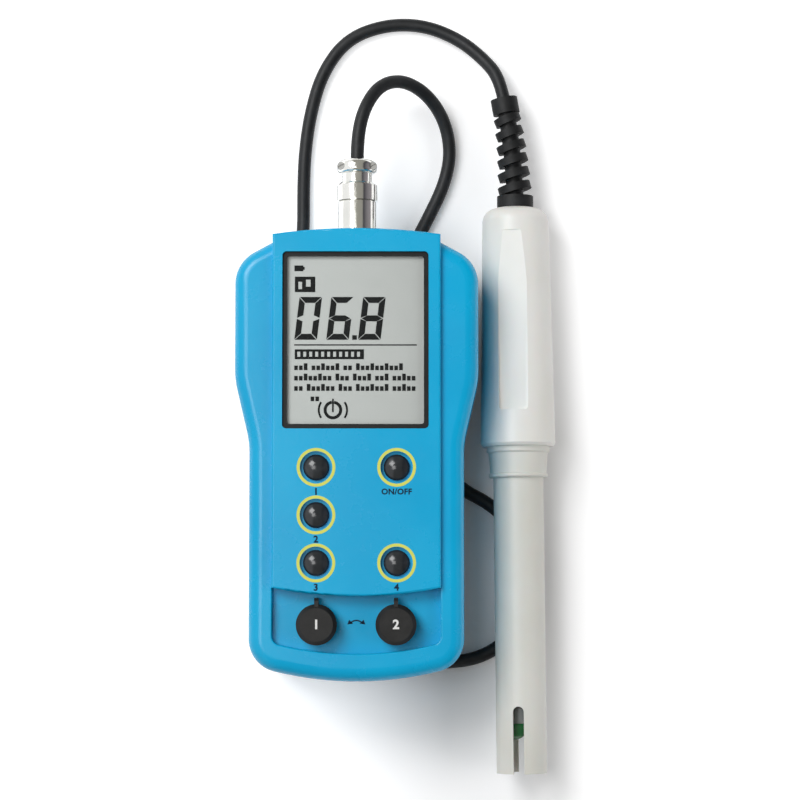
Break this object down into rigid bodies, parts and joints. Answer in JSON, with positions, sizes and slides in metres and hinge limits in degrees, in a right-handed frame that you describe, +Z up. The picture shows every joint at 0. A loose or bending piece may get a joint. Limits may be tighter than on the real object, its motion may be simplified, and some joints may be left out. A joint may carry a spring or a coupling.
{
  "type": "portable multiparameter meter with probe",
  "caption": "Handheld water-testing meter with display, push buttons and knobs, joined by a coiled lead to a combined glass electrode probe.",
  "frame": {"origin": "on the surface it lies on, under the middle of the box round the meter and the probe", "axes": "+Z up out of the meter's face, +Y towards the meter's socket end, +X towards the probe"},
  "size_m": [0.1088, 0.2617, 0.0467],
  "materials": {
    "housing": "moulded ABS, fine satin gloss, light blue",
    "rear_case": "moulded ABS, fine texture, light blue",
    "gasket": "soft black sealing cord",
    "screw_steel": "zinc-plated steel",
    "battery_case": "painted steel can, bare of print",
    "black_plastic": "black moulded plastic",
    "window": "clear polished window",
    "lcd": "grey-green display glass",
    "carrier": "white moulded carrier",
    "board": "green solder mask",
    "button": "polished dark grey plastic",
    "knob": "black moulded plastic, grooved grip",
    "nickel": "bright nickel plate",
    "lead": "black flexible sheath, satin",
    "relief": "black moulded rubber",
    "probe_body": "off-white polypropylene, satin",
    "probe_guard": "pale grey-white polypropylene, satin",
    "holder": "dark sealing compound",
    "electrode_glass": "clear electrode glass",
    "bulb_glass": "green sensing glass",
    "sensor_steel": "stainless steel"
  },
  "bodies": {
    "meter": {"front_housing": "housing", "rear_housing": "rear_case", "housing_gasket": "gasket", "housing_screws": "screw_steel", "battery": "battery_case", "battery_snap": "black_plastic", "display_bezel": "black_plastic", "display_window": "window", "lcd_glass": "lcd", "lcd_carrier": "carrier", "contact_strips": "black_plastic", "main_board": "board", "board_chips": "black_plastic", "board_screws": "screw_steel", "key_switches": "black_plastic", "pot_bodies": "black_plastic", "probe_socket": "nickel", "socket_insert": "black_plastic", "plug_body": "nickel", "plug_insert": "black_plastic", "cable_clamp": "nickel", "clamp_screws": "screw_steel", "probe_handle": "probe_body", "probe_collar": "probe_guard", "probe_tube": "probe_guard", "electrode_holder": "holder", "glass_stem": "electrode_glass", "glass_bulb": "bulb_glass", "sensor_pin": "sensor_steel", "strain_relief": "relief", "lead_plug_end": "lead", "lead_coil": "lead", "lead_probe_end": "lead"},
    "button_upper_left": {"button_upper_left": "button"},
    "button_middle_left": {"button_middle_left": "button"},
    "button_lower_left": {"button_lower_left": "button"},
    "button_upper_right": {"button_upper_right": "button"},
    "button_lower_right": {"button_lower_right": "button"},
    "left_knob_body": {"left_knob": "knob", "left_knob_shaft": "screw_steel"},
    "right_knob_body": {"right_knob": "knob", "right_knob_shaft": "screw_steel"},
    "coupling_ring_body": {"plug_coupling_ring": "nickel"},
    "battery_door_body": {"battery_door": "rear_case"}
  },
  "joints": [
    {"name": "button_upper_left_press", "type": "slide", "parent": "meter", "child": "button_upper_left", "axis": [0, 0, -1], "range_m": [0, 0.0008], "stiffness_N_per_m": 600, "springref_m": -0.0008},
    {"name": "button_middle_left_press", "type": "slide", "parent": "meter", "child": "button_middle_left", "axis": [0, 0, -1], "range_m": [0, 0.0008], "stiffness_N_per_m": 600, "springref_m": -0.0008},
    {"name": "button_lower_left_press", "type": "slide", "parent": "meter", "child": "button_lower_left", "axis": [0, 0, -1], "range_m": [0, 0.0008], "stiffness_N_per_m": 600, "springref_m": -0.0008},
    {"name": "button_upper_right_press", "type": "slide", "parent": "meter", "child": "button_upper_right", "axis": [0, 0, -1], "range_m": [0, 0.0008], "stiffness_N_per_m": 600, "springref_m": -0.0008},
    {"name": "button_lower_right_press", "type": "slide", "parent": "meter", "child": "button_lower_right", "axis": [0, 0, -1], "range_m": [0, 0.0008], "stiffness_N_per_m": 600, "springref_m": -0.0008},
    {"name": "left_knob_turn", "type": "hinge", "parent": "meter", "child": "left_knob_body", "pos_m": [-0.02657, -0.0654, 0.0424], "axis": [0, 0, 1], "range_deg": [-140, 140]},
    {"name": "right_knob_turn", "type": "hinge", "parent": "meter", "child": "right_knob_body", "pos_m": [-0.00037, -0.0654, 0.0424], "axis": [0, 0, 1], "range_deg": [-140, 140]},
    {"name": "coupling_ring_turn", "type": "hinge", "parent": "meter", "child": "coupling_ring_body", "pos_m": [-0.01347, 0.071, 0.0294], "axis": [0, 1, 0], "range_deg": [0, 360]},
    {"name": "battery_door_slide", "type": "slide", "parent": "meter", "child": "battery_door_body", "axis": [0, -1, 0], "range_m": [0, 0.008]}
  ]
}
